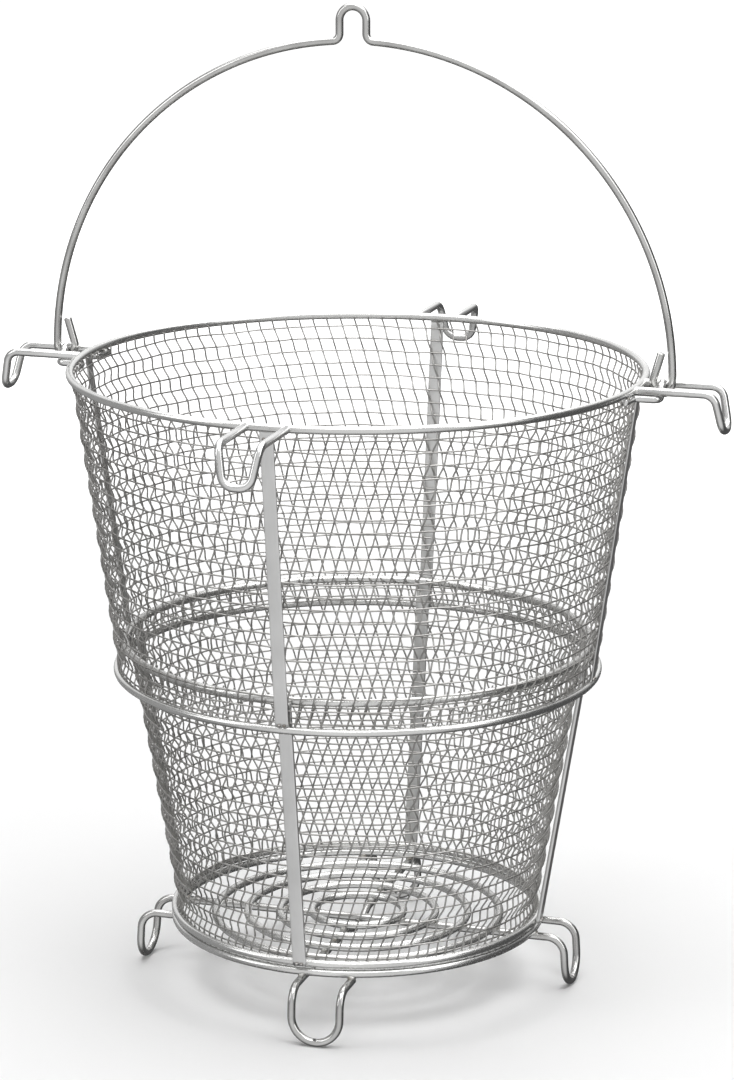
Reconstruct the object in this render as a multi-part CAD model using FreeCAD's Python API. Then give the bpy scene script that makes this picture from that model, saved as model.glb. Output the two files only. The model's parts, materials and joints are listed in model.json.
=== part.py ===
import FreeCAD, Part
import math
import os

# A two-stage stainless wire basket for roasting a whole bird in an upright cooking chamber.
# Origin: floor under the basket's axis.  +Z up, +X through the bail's two lugs, -Y the front strap.
# All sizes in millimetres and degrees.

# Round stock and flat stock
WIRE = 4.2              # rings, hooks, foot bars
LUG_WIRE = 4.2          # the two lugs that carry the bail
BAIL_WIRE = 4.2
CLOTH_WIRE = 1.0        # wires of the woven walls
STRAP_WIDTH = 7.2
STRAP_THICKNESS = 1.0
WELD_SINK = 0.1         # how far crossed wires melt into each other

# Ring levels and centreline radii
FOOT_DROP = 27.3        # foot bar centreline down to the lowest foot centreline
BASE_RING_GAP = 0.5     # between the two base rings
OUTER_MID_ABOVE_BASE = 139.0
INNER_MID_ABOVE_BASE = 153.5
RIM_ABOVE_BASE = 299.5
RIM_RADIUS = 150.75
OUTER_MID_RADIUS = 128.0
NEST_CLEARANCE = 0.55   # lower stage's straps inside the upper wall and its bottom ring
BASE_RADIUS = 98.6

# Woven walls: straight uprights with level hoops outside and inside them by turns
UPPER_HOOPS = 23
UPPER_UPRIGHTS = 120
UPPER_TOP_GAP = 5.9     # ring centre to first hoop
UPPER_BOTTOM_GAP = 3.7
UPPER_CLOTH_INSET = 1.4     # uprights' centreline inside the line of the ring centres
LOWER_HOOPS = 23
LOWER_UPRIGHTS = 114
LOWER_TOP_GAP = 4.1
LOWER_BOTTOM_GAP = 2.6
UPPER_STRAP_PROUD = 1.2     # upper strap's outer face beyond the line of the ring centres

# Floor grate
GRATE_RINGS = 4
GRATE_EDGE = 21.6       # base ring to the outermost grate ring
GRATE_PITCH = 17.4
JOGGLE_OUTER = 18.0     # half length of the dip where one foot bar passes under the other
JOGGLE_INNER = 7.0
JOGGLE_BEND = 14.0

# Feet, formed from the ends of the two foot bars
FOOT_PAST_RING = 16.4   # corner of the foot beyond the base ring
FOOT_LEAN = 3.5
FOOT_WIDTH = 26.0
FOOT_BEND = 9.5
FOOT_RETURN_PAST_RING = 2.0

# Rim hooks
HOOK_PAST_RIM = 41.65   # corner of the hook beyond the rim
HOOK_LEAN = 12.2
HOOK_DROP = 20.0
HOOK_WIDTH = 21.4
HOOK_TIP_WIDTH = 14.0
HOOK_BEND = 6.9
HOOK_TIP_BEND = 7.0

# Lugs
LUG_TAIL = 24.0         # how far the tails run along the rim from the lug's middle
LUG_BEND = 3.0
LUG_FOOT_BEND = 2.2
EYE_CLEARANCE = 0.1     # bail wire in the lug's eye
EYE_TOP_ABOVE_RIM = 2.5

# Bail
BAIL_PAST_RIM = 17.65    # side of the arch beyond the rim
BAIL_HOOK_RADIUS = 5.0
STUB_LEAN = 15.8
STUB_LENGTH = 14.1
LOOP_HALF_WIDTH = 7.2
LOOP_OFFSET = -2.6
LOOP_HEIGHT = 6.6       # straight side of the top loop above its foot bend
LOOP_BEND = 4.0

# Levels and radii that follow from the sizes above
FOOT_BAR_Z = WIRE / 2 + FOOT_DROP
BASE_Z = FOOT_BAR_Z + WIRE - WELD_SINK
BASE_UPPER_Z = BASE_Z + WIRE + BASE_RING_GAP
OUTER_MID_Z = BASE_Z + OUTER_MID_ABOVE_BASE
INNER_MID_Z = BASE_Z + INNER_MID_ABOVE_BASE
RIM_Z = BASE_Z + RIM_ABOVE_BASE
GRATE_Z = FOOT_BAR_Z + WIRE - WELD_SINK
EYE_RADIUS = BAIL_WIRE / 2 + LUG_WIRE / 2 + EYE_CLEARANCE
BAIL_AXIS_Z = RIM_Z + EYE_TOP_ABOVE_RIM - EYE_RADIUS
BAIL_HALF_SPAN = RIM_RADIUS + BAIL_PAST_RIM
LUG_REACH = BAIL_HALF_SPAN - BAIL_HOOK_RADIUS
HOOK_REACH = RIM_RADIUS + HOOK_PAST_RIM
FOOT_REACH = BASE_RADIUS + FOOT_PAST_RING
GRATE_RADII = [BASE_RADIUS - GRATE_EDGE - GRATE_PITCH * index for index in range(GRATE_RINGS)]
LOWER_CLOTH_INSET = WIRE / 2 + CLOTH_WIRE / 2 - WELD_SINK
LOWER_STRAP_PROUD = WIRE / 2 + STRAP_THICKNESS - WELD_SINK
UPPER_SLOPE = (RIM_RADIUS - OUTER_MID_RADIUS) / (RIM_Z - OUTER_MID_Z)
UPPER_HOOP_INSET = UPPER_CLOTH_INSET + CLOTH_WIRE - WELD_SINK + CLOTH_WIRE / 2

# The lower stage's top ring: its straps clear the upper wall there, and clear the upper stage's
# bottom ring further down, whichever leaves less room
NEST_DEPTH = INNER_MID_Z - OUTER_MID_Z
NEST_SHARE = NEST_DEPTH / (INNER_MID_Z - BASE_UPPER_Z)
IN_WALL = OUTER_MID_RADIUS + UPPER_SLOPE * NEST_DEPTH - UPPER_HOOP_INSET
IN_RING = (OUTER_MID_RADIUS - WIRE / 2 - NEST_CLEARANCE - LOWER_STRAP_PROUD - BASE_RADIUS * NEST_SHARE) / (1 - NEST_SHARE)
INNER_MID_RADIUS = min(IN_WALL - NEST_CLEARANCE - LOWER_STRAP_PROUD, IN_RING)

Z_AXIS = FreeCAD.Vector(0, 0, 1)
STATIONS = {"right": 0.0, "back": 90.0, "left": 180.0, "front": -90.0}


def vec(x, y, z):
    return FreeCAD.Vector(x, y, z)


def save(name, shape):
    """Write one sub-part to its own file."""
    shape.exportStep(os.path.join("parts", name + ".step"))


def turned(shape, degrees):
    """A copy of the shape turned about the basket's axis."""
    copy = shape.copy()
    copy.rotate(vec(0, 0, 0), Z_AXIS, degrees)
    return copy


def ring(radius, z, diameter=WIRE):
    """A round wire bent into a level ring."""
    return Part.makeTorus(radius, diameter / 2, vec(0, 0, z), Z_AXIS)


def rod(start, end, diameter):
    """A straight round wire."""
    run = end - start
    return Part.makeCylinder(diameter / 2, run.Length, start, run)


def bend_solid(start, middle, end, diameter):
    """A round wire along the arc through three points."""
    arc = Part.Arc(start, middle, end).toShape()
    centre = arc.Curve.Center
    axis = (start - centre).cross(middle - centre)
    axis.normalize()
    travel = axis.cross(start - centre)
    section = Part.Face(Part.Wire(Part.makeCircle(diameter / 2, start, travel)))
    angle = math.degrees(arc.LastParameter - arc.FirstParameter)
    return section.revolve(centre, axis, angle)


def formed_wire(pieces, diameter):
    """One solid from straight runs (two points) and bends (three points) that follow each other."""
    solids = []
    for piece in pieces:
        if len(piece) == 2:
            solids.append(rod(piece[0], piece[1], diameter))
        else:
            solids.append(bend_solid(piece[0], piece[1], piece[2], diameter))
    whole = solids[0].multiFuse(solids[1:]).removeSplitter()
    return whole.Solids[0]


def rounded_route(corners, radii):
    """Straight runs joined by bends: one radius for each inner corner."""
    pieces = []
    start = corners[0]
    for index, radius in enumerate(radii, 1):
        corner = corners[index]
        back = (corners[index - 1] - corner).normalize()
        ahead = (corners[index + 1] - corner).normalize()
        half = back.getAngle(ahead) / 2
        setback = radius / math.tan(half)
        bisector = (back + ahead).normalize()
        middle = corner + bisector * (radius / math.sin(half) - radius)
        first = corner + back * setback
        last = corner + ahead * setback
        if (first - start).Length > 0.01:
            pieces.append((start, first))
        pieces.append((first, middle, last))
        start = last
    if (corners[-1] - start).Length > 0.01:
        pieces.append((start, corners[-1]))
    return pieces


def rings():
    """The five structural rings."""
    save("rim_ring", ring(RIM_RADIUS, RIM_Z))
    save("upper_stage_bottom_ring", ring(OUTER_MID_RADIUS, OUTER_MID_Z))
    save("lower_stage_top_ring", ring(INNER_MID_RADIUS, INNER_MID_Z))
    save("base_ring_upper", ring(BASE_RADIUS, BASE_UPPER_Z))
    save("base_ring_lower", ring(BASE_RADIUS, BASE_Z))


def strap_profile(low_radius, low_z, high_radius, high_z, proud):
    """A flat strap in the +X station along the line between two ring centres."""
    lean = math.atan2(high_radius - low_radius, high_z - low_z)
    outward = vec(math.cos(lean), 0, -math.sin(lean))
    edge = vec(0, -STRAP_WIDTH / 2, 0)
    low = vec(low_radius, 0, low_z) + edge
    high = vec(high_radius, 0, high_z) + edge
    corners = [
        low + outward * (proud - STRAP_THICKNESS),
        high + outward * (proud - STRAP_THICKNESS),
        high + outward * proud,
        low + outward * proud,
    ]
    side = Part.Face(Part.makePolygon(corners + [corners[0]]))
    return side.extrude(vec(0, STRAP_WIDTH, 0))


def upper_strap():
    """Butted between the rim and the upper stage's bottom ring, and cut to fit them."""
    strap = strap_profile(OUTER_MID_RADIUS, OUTER_MID_Z, RIM_RADIUS, RIM_Z, UPPER_STRAP_PROUD)
    for radius, z in ((OUTER_MID_RADIUS, OUTER_MID_Z), (RIM_RADIUS, RIM_Z)):
        strap = strap.cut(ring(radius, z))
    return max(strap.Solids, key=lambda solid: solid.Volume)


def lower_strap():
    """Laid on the outside of the lower stage's top ring and upper base ring."""
    return strap_profile(BASE_RADIUS, BASE_UPPER_Z, INNER_MID_RADIUS, INNER_MID_Z, LOWER_STRAP_PROUD)


def straps():
    """Four straps on each stage."""
    upper = upper_strap()
    lower = lower_strap()
    for station, angle in STATIONS.items():
        save("upper_strap_" + station, turned(upper, angle))
        save("lower_strap_" + station, turned(lower, angle))


class WovenWall:
    """One stage's wall on the cone between two rings, each given as (centreline radius, level)."""

    def __init__(self, low, high, inset, ends, counts, gaps):
        self.low = low
        self.high = high
        self.inset = inset
        self.bottom, self.top = ends
        self.uprights, self.hoops = counts
        self.first_hoop_z = low[1] + gaps[0]
        self.last_hoop_z = high[1] - gaps[1]

    def radius(self, z):
        """Radius of the uprights' centrelines at this level."""
        share = (z - self.low[1]) / (self.high[1] - self.low[1])
        return self.low[0] + (self.high[0] - self.low[0]) * share - self.inset

    def upright(self):
        start = vec(self.radius(self.bottom), 0, self.bottom)
        end = vec(self.radius(self.top), 0, self.top)
        return rod(start, end, CLOTH_WIRE)

    def hoop_at(self, index):
        """Even hoops pass outside the uprights and odd ones inside."""
        pitch = (self.last_hoop_z - self.first_hoop_z) / (self.hoops - 1)
        z = self.first_hoop_z + pitch * index
        side = 1 if index % 2 == 0 else -1
        return ring(self.radius(z) + side * (CLOTH_WIRE - WELD_SINK), z, CLOTH_WIRE)

    def save_as(self, name):
        upright = self.upright()
        step = 360.0 / self.uprights
        uprights = [turned(upright, step * index) for index in range(self.uprights)]
        hoops = [self.hoop_at(index) for index in range(self.hoops)]
        save(name + "_uprights", Part.makeCompound(uprights))
        save(name + "_outer_hoops", Part.makeCompound(hoops[0::2]))
        save(name + "_inner_hoops", Part.makeCompound(hoops[1::2]))


def ring_bite(inset, slope):
    """Level distance from a ring's centre to where an upright's line enters its skin."""
    square = 1 + slope ** 2
    return (math.sqrt(square * (WIRE / 2) ** 2 - inset ** 2) - inset * slope) / square


def upper_wall():
    """The upper stage's wall, its uprights butted on the two rings."""
    top_bite = ring_bite(UPPER_CLOTH_INSET, UPPER_SLOPE) - WELD_SINK
    bottom_bite = ring_bite(UPPER_CLOTH_INSET, -UPPER_SLOPE) - WELD_SINK
    return WovenWall(
        low=(OUTER_MID_RADIUS, OUTER_MID_Z),
        high=(RIM_RADIUS, RIM_Z),
        inset=UPPER_CLOTH_INSET,
        ends=(OUTER_MID_Z + bottom_bite, RIM_Z - top_bite),
        counts=(UPPER_UPRIGHTS, UPPER_HOOPS),
        gaps=(UPPER_BOTTOM_GAP, UPPER_TOP_GAP),
    )


def lower_wall():
    """The lower stage's wall, its uprights laid on the inside of the rings."""
    return WovenWall(
        low=(BASE_RADIUS, BASE_UPPER_Z),
        high=(INNER_MID_RADIUS, INNER_MID_Z),
        inset=LOWER_CLOTH_INSET,
        ends=(BASE_UPPER_Z - WIRE / 2, INNER_MID_Z + WIRE / 2),
        counts=(LOWER_UPRIGHTS, LOWER_HOOPS),
        gaps=(LOWER_BOTTOM_GAP, LOWER_TOP_GAP),
    )


def rim_hook():
    """One wire in the +X station: two arms out from the rim, bent down and closed in a U."""
    side = HOOK_WIDTH / 2
    tip = HOOK_TIP_WIDTH / 2
    tip_reach = HOOK_REACH + HOOK_DROP * math.tan(math.radians(HOOK_LEAN))
    corners = [
        vec(RIM_RADIUS, -side, RIM_Z),
        vec(HOOK_REACH, -side, RIM_Z),
        vec(tip_reach, -tip, RIM_Z - HOOK_DROP),
        vec(tip_reach, tip, RIM_Z - HOOK_DROP),
        vec(HOOK_REACH, side, RIM_Z),
        vec(RIM_RADIUS, side, RIM_Z),
    ]
    radii = [HOOK_BEND, HOOK_TIP_BEND, HOOK_TIP_BEND, HOOK_BEND]
    hook = formed_wire(rounded_route(corners, radii), WIRE)
    hook = hook.cut(ring(RIM_RADIUS, RIM_Z))
    return max(hook.Solids, key=lambda solid: solid.Volume)


def hooks():
    hook = rim_hook()
    for station, angle in STATIONS.items():
        save("rim_hook_" + station, turned(hook, angle))


def foot_corners():
    """Corners of one foot in the +X station, from its return arm's end to the bar's line."""
    toe = FOOT_REACH + FOOT_DROP * math.tan(math.radians(FOOT_LEAN))
    floor_z = FOOT_BAR_Z - FOOT_DROP
    arm_end = math.sqrt(BASE_RADIUS ** 2 - FOOT_WIDTH ** 2) - FOOT_RETURN_PAST_RING
    return [
        vec(arm_end, FOOT_WIDTH, FOOT_BAR_Z),
        vec(FOOT_REACH, FOOT_WIDTH, FOOT_BAR_Z),
        vec(toe, FOOT_WIDTH, floor_z),
        vec(toe, 0, floor_z),
        vec(FOOT_REACH, 0, FOOT_BAR_Z),
    ]


def foot_bar(passes_under):
    """One wire right across the base: a foot at each end, and a dip where it passes under the other."""
    near = foot_corners()
    far = [vec(-point.x, -point.y, point.z) for point in reversed(near)]
    foot_radii = [FOOT_BEND, FOOT_WIDTH / 2 - 0.05, FOOT_WIDTH / 2 - 0.05, FOOT_BEND]
    middle = []
    middle_radii = []
    if passes_under:
        low_z = FOOT_BAR_Z - WIRE + WELD_SINK
        middle = [
            vec(JOGGLE_OUTER, 0, FOOT_BAR_Z),
            vec(JOGGLE_INNER, 0, low_z),
            vec(-JOGGLE_INNER, 0, low_z),
            vec(-JOGGLE_OUTER, 0, FOOT_BAR_Z),
        ]
        middle_radii = [JOGGLE_BEND] * 4
    route = rounded_route(near + middle + far, foot_radii + middle_radii + foot_radii)
    return formed_wire(route, WIRE)


def base():
    """Grate rings on two crossed foot bars."""
    save("foot_bar_left_right", foot_bar(False))
    save("foot_bar_front_back", turned(foot_bar(True), 90.0))
    for number, radius in enumerate(GRATE_RADII, 1):
        save("grate_ring_%d" % number, ring(radius, GRATE_Z))


def lug():
    """One wire in the +X station: tails under the rim, two legs out, and an eye for the bail between them."""
    side = HOOK_WIDTH / 2
    leg_z = RIM_Z - WIRE / 2 - LUG_WIRE / 2 + WELD_SINK
    eye_z = BAIL_AXIS_Z + EYE_RADIUS
    tail_x = math.sqrt(RIM_RADIUS ** 2 - LUG_TAIL ** 2)
    root_x = math.sqrt(RIM_RADIUS ** 2 - side ** 2)
    half = [
        vec(tail_x, LUG_TAIL, leg_z),
        vec(root_x, side, leg_z),
        vec(LUG_REACH, side, leg_z),
        vec(LUG_REACH, EYE_RADIUS, leg_z),
        vec(LUG_REACH, EYE_RADIUS, eye_z),
    ]
    other = [vec(point.x, -point.y, point.z) for point in reversed(half)]
    radii = [LUG_BEND, LUG_BEND, LUG_FOOT_BEND, EYE_RADIUS - 0.01]
    return formed_wire(rounded_route(half + other, radii + radii[::-1]), LUG_WIRE)


def lugs():
    save("bail_lug_right", lug())
    save("bail_lug_left", turned(lug(), 180.0))


def bail_point(centre_x, centre_z, radius, degrees):
    turn = math.radians(degrees)
    return vec(centre_x + radius * math.cos(turn), 0, centre_z + radius * math.sin(turn))


def bail_side(arch_z):
    """The +X end, from the stub's tip to the foot of the arch."""
    centre_x = BAIL_HALF_SPAN - BAIL_HOOK_RADIUS
    hook_end = -180.0 - STUB_LEAN
    inboard = bail_point(centre_x, arch_z, BAIL_HOOK_RADIUS, hook_end)
    lean = math.radians(STUB_LEAN)
    tip = inboard + vec(STUB_LENGTH * math.sin(lean), 0, STUB_LENGTH * math.cos(lean))
    middle = bail_point(centre_x, arch_z, BAIL_HOOK_RADIUS, hook_end / 2)
    outboard = bail_point(centre_x, arch_z, BAIL_HOOK_RADIUS, 0)
    return [(tip, inboard), (inboard, middle, outboard)]


def arch_to_loop(arch_z, side_x):
    """From the arch's foot at +X to the top of the loop's straight side at x = side_x."""
    reach = BAIL_HALF_SPAN + LOOP_BEND
    bend_x = side_x + LOOP_BEND
    bend_z = arch_z + math.sqrt(reach ** 2 - bend_x ** 2)
    leave = math.degrees(math.atan2(bend_z - arch_z, bend_x))
    arch_end = bail_point(0, arch_z, BAIL_HALF_SPAN, leave)
    arch_middle = bail_point(0, arch_z, BAIL_HALF_SPAN, leave / 2)
    bend_end = vec(side_x, 0, bend_z)
    bend_middle = bail_point(bend_x, bend_z, LOOP_BEND, (leave + 180.0 + 180.0) / 2)
    return [
        (vec(BAIL_HALF_SPAN, 0, arch_z), arch_middle, arch_end),
        (arch_end, bend_middle, bend_end),
    ]


def mirrored(pieces):
    """The same pieces on the -X side, in the order that carries on from the +X side."""
    flipped = []
    for piece in reversed(pieces):
        flipped.append(tuple(vec(-point.x, point.y, point.z) for point in reversed(piece)))
    return flipped


def bail():
    """The lifting bail: an arch with a loop on top and a hook at each end."""
    arch_z = BAIL_AXIS_Z + BAIL_HOOK_RADIUS
    right = bail_side(arch_z) + arch_to_loop(arch_z, LOOP_OFFSET + LOOP_HALF_WIDTH)
    left = bail_side(arch_z) + arch_to_loop(arch_z, LOOP_HALF_WIDTH - LOOP_OFFSET)
    left = mirrored(left)
    right_foot = right[-1][2]
    left_foot = left[0][0]
    loop_z = max(right_foot.z, left_foot.z) + LOOP_HEIGHT
    right_top = vec(right_foot.x, 0, loop_z)
    left_top = vec(left_foot.x, 0, loop_z)
    crown = vec((right_top.x + left_top.x) / 2, 0, loop_z + LOOP_HALF_WIDTH)
    loop = [(right_foot, right_top), (right_top, crown, left_top), (left_top, left_foot)]
    save("bail", formed_wire(right + loop + left, BAIL_WIRE))


os.makedirs("parts", exist_ok=True)
rings()
straps()
upper_wall().save_as("upper_cloth")
lower_wall().save_as("lower_cloth")
hooks()
base()
lugs()
bail()
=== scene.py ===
"""A two-stage stainless wire basket for roasting a whole bird upright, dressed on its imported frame.

Lengths are in metres and angles in degrees.  +Z is up, +X runs through the bail's two lugs and -Y
faces the front strap.  Places come from the boxes of the frame's own nodes.
"""

import json
import logging
import math
from collections.abc import Iterable, Sequence
from dataclasses import dataclass
from enum import Enum

import bmesh
import bpy
from mathutils import Matrix, Vector

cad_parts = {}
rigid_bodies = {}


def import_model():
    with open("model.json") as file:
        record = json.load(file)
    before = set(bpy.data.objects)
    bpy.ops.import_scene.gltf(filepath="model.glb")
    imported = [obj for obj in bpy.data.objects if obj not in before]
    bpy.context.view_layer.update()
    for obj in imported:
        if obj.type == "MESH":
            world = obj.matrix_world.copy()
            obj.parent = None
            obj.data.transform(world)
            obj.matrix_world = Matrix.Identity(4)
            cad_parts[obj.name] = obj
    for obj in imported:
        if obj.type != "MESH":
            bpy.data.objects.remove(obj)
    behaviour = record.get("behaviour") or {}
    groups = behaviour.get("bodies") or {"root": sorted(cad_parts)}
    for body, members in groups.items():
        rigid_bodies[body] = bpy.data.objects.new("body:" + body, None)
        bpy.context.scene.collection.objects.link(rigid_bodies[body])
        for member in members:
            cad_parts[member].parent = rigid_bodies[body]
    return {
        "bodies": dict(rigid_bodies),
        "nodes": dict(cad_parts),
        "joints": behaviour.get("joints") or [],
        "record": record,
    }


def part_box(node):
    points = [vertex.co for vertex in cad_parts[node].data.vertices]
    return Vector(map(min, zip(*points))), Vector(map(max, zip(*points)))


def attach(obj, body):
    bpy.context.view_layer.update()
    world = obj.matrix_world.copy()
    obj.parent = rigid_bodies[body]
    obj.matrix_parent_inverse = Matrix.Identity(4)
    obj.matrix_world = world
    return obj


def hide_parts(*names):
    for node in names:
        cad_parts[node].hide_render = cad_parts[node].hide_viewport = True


LOG = logging.getLogger("basket")
MM = 0.001


class Station(Enum):
    """The four places round the rim and the base, by their angle from +X."""

    RIGHT = 0.0
    BACK = 90.0
    LEFT = 180.0
    FRONT = -90.0

    def turn(self) -> Matrix:
        """Return the rotation from +X to this station."""
        return Matrix.Rotation(math.radians(self.value), 4, "Z")

    def named(self, stem: str) -> str:
        """Return a node name that ends in this station's name."""
        return f"{stem}_{self.name.lower()}"


class Body(Enum):
    """The three bodies that move against each other."""

    LOWER = "lower_stage"
    UPPER = "upper_stage"
    BAIL = "bail"


class Slot(Enum):
    """The record's material slots."""

    WIRE = "bright_wire"
    STRAP = "satin_strap"
    CLOTH = "woven_wire"


# ---------------------------------------------------------------------------------------------
# Finishes


@dataclass(frozen=True)
class SteelFinish:
    """Stainless steel with fine marks, slow patches of tone and its own roughness.

    Attributes:
        name: Material name.
        light: Colour of the clean metal.
        dull: Colour of the slightly clouded patches.
        rough: Lowest and highest roughness.
        patch_scale: Patches of tone per metre.
        mark_scale: Fine marks per metre across their length.
        mark_stretch: How much longer than wide the marks are along each object axis.
        relief: Depth of the marks' bump.
    """

    name: str
    light: tuple[float, float, float]
    dull: tuple[float, float, float]
    rough: tuple[float, float]
    patch_scale: float
    mark_scale: float
    mark_stretch: tuple[float, float, float]
    relief: float

    def build(self) -> bpy.types.Material:
        """Build the node material.

        Returns:
            The finished material.
        """
        material = bpy.data.materials.new(self.name)
        material.use_nodes = True
        tree = material.node_tree
        nodes, links = tree.nodes, tree.links
        shader = nodes["Principled BSDF"]
        shader.inputs["Metallic"].default_value = 1.0
        coordinates = nodes.new("ShaderNodeTexCoord")

        patches = nodes.new("ShaderNodeTexNoise")
        patches.inputs["Scale"].default_value = self.patch_scale
        patches.inputs["Detail"].default_value = 4.0
        links.new(coordinates.outputs["Object"], patches.inputs["Vector"])
        tone = nodes.new("ShaderNodeValToRGB")
        tone.color_ramp.elements[0].position = 0.35
        tone.color_ramp.elements[0].color = (*self.dull, 1.0)
        tone.color_ramp.elements[1].position = 0.62
        tone.color_ramp.elements[1].color = (*self.light, 1.0)
        links.new(patches.outputs["Fac"], tone.inputs["Fac"])
        links.new(tone.outputs["Color"], shader.inputs["Base Color"])

        stretch = nodes.new("ShaderNodeMapping")
        stretch.inputs["Scale"].default_value = self.mark_stretch
        links.new(coordinates.outputs["Object"], stretch.inputs["Vector"])
        marks = nodes.new("ShaderNodeTexNoise")
        marks.inputs["Scale"].default_value = self.mark_scale
        marks.inputs["Detail"].default_value = 6.0
        marks.inputs["Roughness"].default_value = 0.6
        links.new(stretch.outputs["Vector"], marks.inputs["Vector"])
        sheen = nodes.new("ShaderNodeMapRange")
        sheen.inputs["From Min"].default_value = 0.3
        sheen.inputs["From Max"].default_value = 0.7
        sheen.inputs["To Min"].default_value = self.rough[0]
        sheen.inputs["To Max"].default_value = self.rough[1]
        links.new(marks.outputs["Fac"], sheen.inputs["Value"])
        links.new(sheen.outputs["Result"], shader.inputs["Roughness"])
        relief = nodes.new("ShaderNodeBump")
        relief.inputs["Strength"].default_value = 0.35
        relief.inputs["Distance"].default_value = self.relief
        links.new(marks.outputs["Fac"], relief.inputs["Height"])
        links.new(relief.outputs["Normal"], shader.inputs["Normal"])
        return material


@dataclass(frozen=True)
class DrawnWireFinish:
    """Bright drawn wire, with draw lines that follow the wire by its own map.

    Attributes:
        name: Material name.
        light: Colour of the clean metal.
        dull: Colour of the slightly clouded patches.
        rough: Lowest and highest roughness.
        line_count: Draw lines round the wire.
        line_length: How often a draw line fades and starts again, per metre.
    """

    name: str
    light: tuple[float, float, float]
    dull: tuple[float, float, float]
    rough: tuple[float, float]
    line_count: float = 26.0
    line_length: float = 14.0

    def build(self) -> bpy.types.Material:
        """Build the node material.

        Returns:
            The finished material.
        """
        material = bpy.data.materials.new(self.name)
        material.use_nodes = True
        tree = material.node_tree
        nodes, links = tree.nodes, tree.links
        shader = nodes["Principled BSDF"]
        shader.inputs["Metallic"].default_value = 1.0
        coordinates = nodes.new("ShaderNodeTexCoord")
        along = nodes.new("ShaderNodeUVMap")
        along.uv_map = WIRE_MAP

        clouds = nodes.new("ShaderNodeTexNoise")
        clouds.inputs["Scale"].default_value = 38.0
        clouds.inputs["Detail"].default_value = 3.0
        links.new(coordinates.outputs["Object"], clouds.inputs["Vector"])
        tone = nodes.new("ShaderNodeValToRGB")
        tone.color_ramp.elements[0].position = 0.33
        tone.color_ramp.elements[0].color = (*self.dull, 1.0)
        tone.color_ramp.elements[1].position = 0.6
        tone.color_ramp.elements[1].color = (*self.light, 1.0)
        links.new(clouds.outputs["Fac"], tone.inputs["Fac"])
        links.new(tone.outputs["Color"], shader.inputs["Base Color"])

        stretch = nodes.new("ShaderNodeMapping")
        stretch.inputs["Scale"].default_value = (self.line_length, self.line_count, 1.0)
        links.new(along.outputs["UV"], stretch.inputs["Vector"])
        lines = nodes.new("ShaderNodeTexNoise")
        lines.inputs["Scale"].default_value = 1.0
        lines.inputs["Detail"].default_value = 3.0
        links.new(stretch.outputs["Vector"], lines.inputs["Vector"])
        sheen = nodes.new("ShaderNodeMapRange")
        sheen.inputs["From Min"].default_value = 0.3
        sheen.inputs["From Max"].default_value = 0.7
        sheen.inputs["To Min"].default_value = self.rough[0]
        sheen.inputs["To Max"].default_value = self.rough[1]
        links.new(lines.outputs["Fac"], sheen.inputs["Value"])
        links.new(sheen.outputs["Result"], shader.inputs["Roughness"])
        relief = nodes.new("ShaderNodeBump")
        relief.inputs["Strength"].default_value = 0.25
        relief.inputs["Distance"].default_value = 0.000015
        links.new(lines.outputs["Fac"], relief.inputs["Height"])
        links.new(relief.outputs["Normal"], shader.inputs["Normal"])
        return material


WIRE_MAP = "along_wire"

BRIGHT_WIRE = DrawnWireFinish(
    name="bright_drawn_wire",
    light=(0.74, 0.74, 0.735),
    dull=(0.65, 0.65, 0.645),
    rough=(0.18, 0.28),
)
GREY_WIRE = DrawnWireFinish(
    name="grey_drawn_wire", light=(0.60, 0.60, 0.59), dull=(0.45, 0.445, 0.44), rough=(0.17, 0.28)
)
RING_STEEL = SteelFinish(
    name="ring_steel",
    light=(0.76, 0.76, 0.75),
    dull=(0.66, 0.66, 0.65),
    rough=(0.20, 0.30),
    patch_scale=34.0,
    mark_scale=420.0,
    mark_stretch=(1.0, 1.0, 3.5),
    relief=0.00001,
)
CLOTH_STEEL = SteelFinish(
    name="woven_wire_steel",
    light=(0.48, 0.472, 0.46),
    dull=(0.35, 0.342, 0.33),
    rough=(0.30, 0.46),
    patch_scale=55.0,
    mark_scale=600.0,
    mark_stretch=(1.0, 1.0, 0.4),
    relief=0.00003,
)
STRAP_STEEL = SteelFinish(
    name="satin_strap_steel",
    light=(0.73, 0.73, 0.725),
    dull=(0.63, 0.63, 0.625),
    rough=(0.30, 0.46),
    patch_scale=24.0,
    mark_scale=900.0,
    mark_stretch=(1.0, 1.0, 0.05),
    relief=0.00005,
)
WELD_STEEL = SteelFinish(
    name="weld_steel",
    light=(0.74, 0.74, 0.72),
    dull=(0.40, 0.37, 0.33),
    rough=(0.24, 0.50),
    patch_scale=260.0,
    mark_scale=1500.0,
    mark_stretch=(1.0, 1.0, 1.0),
    relief=0.00012,
)
# Darker than the weld steel: weld colour in the brownish patches, with painted shade of the weld
# dimples over the whole bead.
SPOT_TINT_AND_SHADE = SteelFinish(
    name="spot_weld_steel",
    light=(0.52, 0.51, 0.50),
    dull=(0.22, 0.20, 0.18),
    rough=(0.22, 0.45),
    patch_scale=420.0,
    mark_scale=1500.0,
    mark_stretch=(1.0, 1.0, 1.0),
    relief=0.00012,
)


# ---------------------------------------------------------------------------------------------
# Shared making


def adopt(
    piece: bpy.types.Object,
    body: Body,
    nodes: Sequence[str] = (),
) -> None:
    """Put a finished piece on its body and let it stand for its frame nodes.

    Args:
        piece: The finished object.
        body: The body it moves with.
        nodes: Frame nodes that it replaces.
    """
    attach(piece, body.value)
    if nodes:
        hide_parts(*nodes)
    piece.data.calc_loop_triangles()
    LOG.info("%s: %d triangles on %s", piece.name, len(piece.data.loop_triangles), body.value)


def centre_ring(node: str) -> tuple[float, float, float]:
    """Read a level round ring from its node's box.

    Args:
        node: Name of the frame node.

    Returns:
        Centreline radius, level and wire radius.
    """
    low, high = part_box(node)
    wire = (high[2] - low[2]) / 2
    return (high[0] - low[0]) / 2 - wire, (high[2] + low[2]) / 2, wire


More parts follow.
